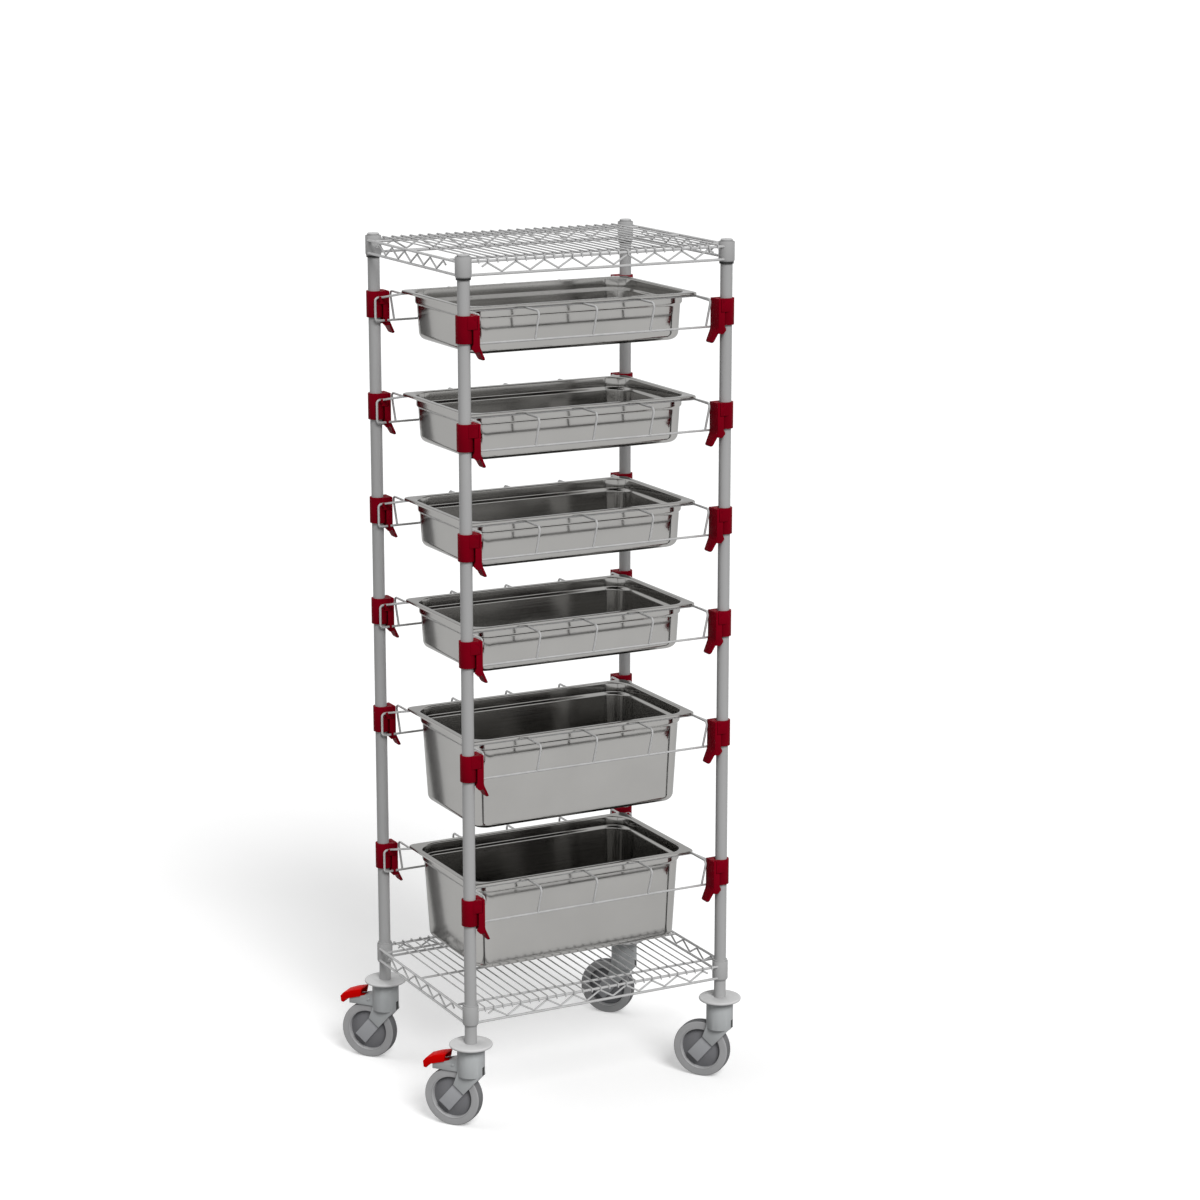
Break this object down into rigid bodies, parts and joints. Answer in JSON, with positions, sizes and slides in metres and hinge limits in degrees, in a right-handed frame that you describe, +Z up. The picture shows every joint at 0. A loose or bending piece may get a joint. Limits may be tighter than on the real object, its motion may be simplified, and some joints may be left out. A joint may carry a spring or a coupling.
{
  "type": "tray trolley",
  "caption": "Tall open kitchen trolley: four steel posts on swivel castors, wire shelves at top and bottom, and stainless trays hung on wire runners with red clamps.",
  "frame": {"origin": "on the floor, midway between the axes of the four posts", "axes": "+Z up, +X to the right along the long side, +Y from the front to the rear"},
  "size_m": [0.7216, 0.5759, 1.825],
  "materials": {
    "post_steel": "satin",
    "shelf_steel": "satin",
    "wire_steel": "satin",
    "tray_steel": "satin",
    "cap_plastic": "matte",
    "sleeve_plastic": "matte",
    "clamp_plastic": "semi-gloss",
    "lever_plastic": "semi-gloss",
    "disc_plastic": "matte",
    "stem_steel": "satin",
    "castor_plastic": "satin",
    "wheel_rubber": "matte",
    "pedal_plastic": "semi-gloss"
  },
  "bodies": {
    "base": {"left_front_post": "post_steel", "right_front_post": "post_steel", "left_rear_post": "post_steel", "right_rear_post": "post_steel", "post_caps": "cap_plastic", "split_sleeves": "sleeve_plastic", "bottom_shelf_frame": "shelf_steel", "bottom_shelf_deck": "wire_steel", "top_shelf_frame": "shelf_steel", "top_shelf_deck": "wire_steel", "runners_1": "wire_steel", "runners_2": "wire_steel", "runners_3": "wire_steel", "runners_4": "wire_steel", "runners_5": "wire_steel", "runners_6": "wire_steel", "front_clamp_bodies": "clamp_plastic", "rear_clamp_bodies": "clamp_plastic", "bumper_discs": "disc_plastic", "castor_stems": "stem_steel"},
    "tray_body_1": {"tray_1": "tray_steel"},
    "tray_body_2": {"tray_2": "tray_steel"},
    "tray_body_3": {"tray_3": "tray_steel"},
    "tray_body_4": {"tray_4": "tray_steel"},
    "tray_body_5": {"tray_5": "tray_steel"},
    "tray_body_6": {"tray_6": "tray_steel"},
    "left_front_lever_body_1": {"left_front_lever_1": "lever_plastic"},
    "right_front_lever_body_1": {"right_front_lever_1": "lever_plastic"},
    "left_rear_lever_body_1": {"left_rear_lever_1": "lever_plastic"},
    "right_rear_lever_body_1": {"right_rear_lever_1": "lever_plastic"},
    "left_front_lever_body_2": {"left_front_lever_2": "lever_plastic"},
    "right_front_lever_body_2": {"right_front_lever_2": "lever_plastic"},
    "left_rear_lever_body_2": {"left_rear_lever_2": "lever_plastic"},
    "right_rear_lever_body_2": {"right_rear_lever_2": "lever_plastic"},
    "left_front_lever_body_3": {"left_front_lever_3": "lever_plastic"},
    "right_front_lever_body_3": {"right_front_lever_3": "lever_plastic"},
    "left_rear_lever_body_3": {"left_rear_lever_3": "lever_plastic"},
    "right_rear_lever_body_3": {"right_rear_lever_3": "lever_plastic"},
    "left_front_lever_body_4": {"left_front_lever_4": "lever_plastic"},
    "right_front_lever_body_4": {"right_front_lever_4": "lever_plastic"},
    "left_rear_lever_body_4": {"left_rear_lever_4": "lever_plastic"},
    "right_rear_lever_body_4": {"right_rear_lever_4": "lever_plastic"},
    "left_front_lever_body_5": {"left_front_lever_5": "lever_plastic"},
    "right_front_lever_body_5": {"right_front_lever_5": "lever_plastic"},
    "left_rear_lever_body_5": {"left_rear_lever_5": "lever_plastic"},
    "right_rear_lever_body_5": {"right_rear_lever_5": "lever_plastic"},
    "left_front_lever_body_6": {"left_front_lever_6": "lever_plastic"},
    "right_front_lever_body_6": {"right_front_lever_6": "lever_plastic"},
    "left_rear_lever_body_6": {"left_rear_lever_6": "lever_plastic"},
    "right_rear_lever_body_6": {"right_rear_lever_6": "lever_plastic"},
    "left_front_castor": {"left_front_housing": "castor_plastic"},
    "left_front_wheel_body": {"left_front_wheel": "wheel_rubber"},
    "left_front_pedal_body": {"left_front_pedal": "pedal_plastic"},
    "right_front_castor": {"right_front_housing": "castor_plastic"},
    "right_front_wheel_body": {"right_front_wheel": "wheel_rubber"},
    "left_rear_castor": {"left_rear_housing": "castor_plastic"},
    "left_rear_wheel_body": {"left_rear_wheel": "wheel_rubber"},
    "left_rear_pedal_body": {"left_rear_pedal": "pedal_plastic"},
    "right_rear_castor": {"right_rear_housing": "castor_plastic"},
    "right_rear_wheel_body": {"right_rear_wheel": "wheel_rubber"}
  },
  "joints": [
    {"name": "tray_slide_1", "type": "slide", "parent": "base", "child": "tray_body_1", "axis": [1, 0, 0], "range_m": [-0.25, 0.25]},
    {"name": "tray_slide_2", "type": "slide", "parent": "base", "child": "tray_body_2", "axis": [1, 0, 0], "range_m": [-0.25, 0.25]},
    {"name": "tray_slide_3", "type": "slide", "parent": "base", "child": "tray_body_3", "axis": [1, 0, 0], "range_m": [-0.25, 0.25]},
    {"name": "tray_slide_4", "type": "slide", "parent": "base", "child": "tray_body_4", "axis": [1, 0, 0], "range_m": [-0.25, 0.25]},
    {"name": "tray_slide_5", "type": "slide", "parent": "base", "child": "tray_body_5", "axis": [1, 0, 0], "range_m": [-0.25, 0.25]},
    {"name": "tray_slide_6", "type": "slide", "parent": "base", "child": "tray_body_6", "axis": [1, 0, 0], "range_m": [-0.25, 0.25]},
    {"name": "left_front_lever_hinge_1", "type": "hinge", "parent": "base", "child": "left_front_lever_body_1", "pos_m": [-0.2815, -0.22, 1.696], "axis": [0, -1, 0], "range_deg": [0, 5]},
    {"name": "right_front_lever_hinge_1", "type": "hinge", "parent": "base", "child": "right_front_lever_body_1", "pos_m": [0.2815, -0.22, 1.696], "axis": [0, 1, 0], "range_deg": [0, 5]},
    {"name": "left_rear_lever_hinge_1", "type": "hinge", "parent": "base", "child": "left_rear_lever_body_1", "pos_m": [-0.2815, 0.22, 1.696], "axis": [0, -1, 0], "range_deg": [0, 5]},
    {"name": "right_rear_lever_hinge_1", "type": "hinge", "parent": "base", "child": "right_rear_lever_body_1", "pos_m": [0.2815, 0.22, 1.696], "axis": [0, 1, 0], "range_deg": [0, 5]},
    {"name": "left_front_lever_hinge_2", "type": "hinge", "parent": "base", "child": "left_front_lever_body_2", "pos_m": [-0.2815, -0.22, 1.48], "axis": [0, -1, 0], "range_deg": [0, 5]},
    {"name": "right_front_lever_hinge_2", "type": "hinge", "parent": "base", "child": "right_front_lever_body_2", "pos_m": [0.2815, -0.22, 1.48], "axis": [0, 1, 0], "range_deg": [0, 5]},
    {"name": "left_rear_lever_hinge_2", "type": "hinge", "parent": "base", "child": "left_rear_lever_body_2", "pos_m": [-0.2815, 0.22, 1.48], "axis": [0, -1, 0], "range_deg": [0, 5]},
    {"name": "right_rear_lever_hinge_2", "type": "hinge", "parent": "base", "child": "right_rear_lever_body_2", "pos_m": [0.2815, 0.22, 1.48], "axis": [0, 1, 0], "range_deg": [0, 5]},
    {"name": "left_front_lever_hinge_3", "type": "hinge", "parent": "base", "child": "left_front_lever_body_3", "pos_m": [-0.2815, -0.22, 1.257], "axis": [0, -1, 0], "range_deg": [0, 5]},
    {"name": "right_front_lever_hinge_3", "type": "hinge", "parent": "base", "child": "right_front_lever_body_3", "pos_m": [0.2815, -0.22, 1.257], "axis": [0, 1, 0], "range_deg": [0, 5]},
    {"name": "left_rear_lever_hinge_3", "type": "hinge", "parent": "base", "child": "left_rear_lever_body_3", "pos_m": [-0.2815, 0.22, 1.257], "axis": [0, -1, 0], "range_deg": [0, 5]},
    {"name": "right_rear_lever_hinge_3", "type": "hinge", "parent": "base", "child": "right_rear_lever_body_3", "pos_m": [0.2815, 0.22, 1.257], "axis": [0, 1, 0], "range_deg": [0, 5]},
    {"name": "left_front_lever_hinge_4", "type": "hinge", "parent": "base", "child": "left_front_lever_body_4", "pos_m": [-0.2815, -0.22, 1.037], "axis": [0, -1, 0], "range_deg": [0, 5]},
    {"name": "right_front_lever_hinge_4", "type": "hinge", "parent": "base", "child": "right_front_lever_body_4", "pos_m": [0.2815, -0.22, 1.037], "axis": [0, 1, 0], "range_deg": [0, 5]},
    {"name": "left_rear_lever_hinge_4", "type": "hinge", "parent": "base", "child": "left_rear_lever_body_4", "pos_m": [-0.2815, 0.22, 1.037], "axis": [0, -1, 0], "range_deg": [0, 5]},
    {"name": "right_rear_lever_hinge_4", "type": "hinge", "parent": "base", "child": "right_rear_lever_body_4", "pos_m": [0.2815, 0.22, 1.037], "axis": [0, 1, 0], "range_deg": [0, 5]},
    {"name": "left_front_lever_hinge_5", "type": "hinge", "parent": "base", "child": "left_front_lever_body_5", "pos_m": [-0.2815, -0.22, 0.798], "axis": [0, -1, 0], "range_deg": [0, 5]},
    {"name": "right_front_lever_hinge_5", "type": "hinge", "parent": "base", "child": "right_front_lever_body_5", "pos_m": [0.2815, -0.22, 0.798], "axis": [0, 1, 0], "range_deg": [0, 5]},
    {"name": "left_rear_lever_hinge_5", "type": "hinge", "parent": "base", "child": "left_rear_lever_body_5", "pos_m": [-0.2815, 0.22, 0.798], "axis": [0, -1, 0], "range_deg": [0, 5]},
    {"name": "right_rear_lever_hinge_5", "type": "hinge", "parent": "base", "child": "right_rear_lever_body_5", "pos_m": [0.2815, 0.22, 0.798], "axis": [0, 1, 0], "range_deg": [0, 5]},
    {"name": "left_front_lever_hinge_6", "type": "hinge", "parent": "base", "child": "left_front_lever_body_6", "pos_m": [-0.2815, -0.22, 0.49], "axis": [0, -1, 0], "range_deg": [0, 5]},
    {"name": "right_front_lever_hinge_6", "type": "hinge", "parent": "base", "child": "right_front_lever_body_6", "pos_m": [0.2815, -0.22, 0.49], "axis": [0, 1, 0], "range_deg": [0, 5]},
    {"name": "left_rear_lever_hinge_6", "type": "hinge", "parent": "base", "child": "left_rear_lever_body_6", "pos_m": [-0.2815, 0.22, 0.49], "axis": [0, -1, 0], "range_deg": [0, 5]},
    {"name": "right_rear_lever_hinge_6", "type": "hinge", "parent": "base", "child": "right_rear_lever_body_6", "pos_m": [0.2815, 0.22, 0.49], "axis": [0, 1, 0], "range_deg": [0, 5]},
    {"name": "left_front_swivel", "type": "hinge", "parent": "base", "child": "left_front_castor", "pos_m": [-0.298, -0.22, 0.15], "axis": [0, 0, 1], "continuous": true},
    {"name": "left_front_axle", "type": "hinge", "parent": "left_front_castor", "child": "left_front_wheel_body", "pos_m": [-0.32371, -0.18936, 0.0625], "axis": [-0.766, -0.6428, 0], "continuous": true},
    {"name": "left_front_pedal_hinge", "type": "hinge", "parent": "left_front_castor", "child": "left_front_pedal_body", "pos_m": [-0.31985, -0.19395, 0.137], "axis": [-0.766, -0.6428, 0], "range_deg": [0, 10]},
    {"name": "right_front_swivel", "type": "hinge", "parent": "base", "child": "right_front_castor", "pos_m": [0.298, -0.22, 0.15], "axis": [0, 0, 1], "continuous": true},
    {"name": "right_front_axle", "type": "hinge", "parent": "right_front_castor", "child": "right_front_wheel_body", "pos_m": [0.27229, -0.18936, 0.0625], "axis": [-0.766, -0.6428, 0], "continuous": true},
    {"name": "left_rear_swivel", "type": "hinge", "parent": "base", "child": "left_rear_castor", "pos_m": [-0.298, 0.22, 0.15], "axis": [0, 0, 1], "continuous": true},
    {"name": "left_rear_axle", "type": "hinge", "parent": "left_rear_castor", "child": "left_rear_wheel_body", "pos_m": [-0.32371, 0.25064, 0.0625], "axis": [-0.766, -0.6428, 0], "continuous": true},
    {"name": "left_rear_pedal_hinge", "type": "hinge", "parent": "left_rear_castor", "child": "left_rear_pedal_body", "pos_m": [-0.31985, 0.24605, 0.137], "axis": [-0.766, -0.6428, 0], "range_deg": [0, 10]},
    {"name": "right_rear_swivel", "type": "hinge", "parent": "base", "child": "right_rear_castor", "pos_m": [0.298, 0.22, 0.15], "axis": [0, 0, 1], "continuous": true},
    {"name": "right_rear_axle", "type": "hinge", "parent": "right_rear_castor", "child": "right_rear_wheel_body", "pos_m": [0.27229, 0.25064, 0.0625], "axis": [-0.766, -0.6428, 0], "continuous": true}
  ]
}
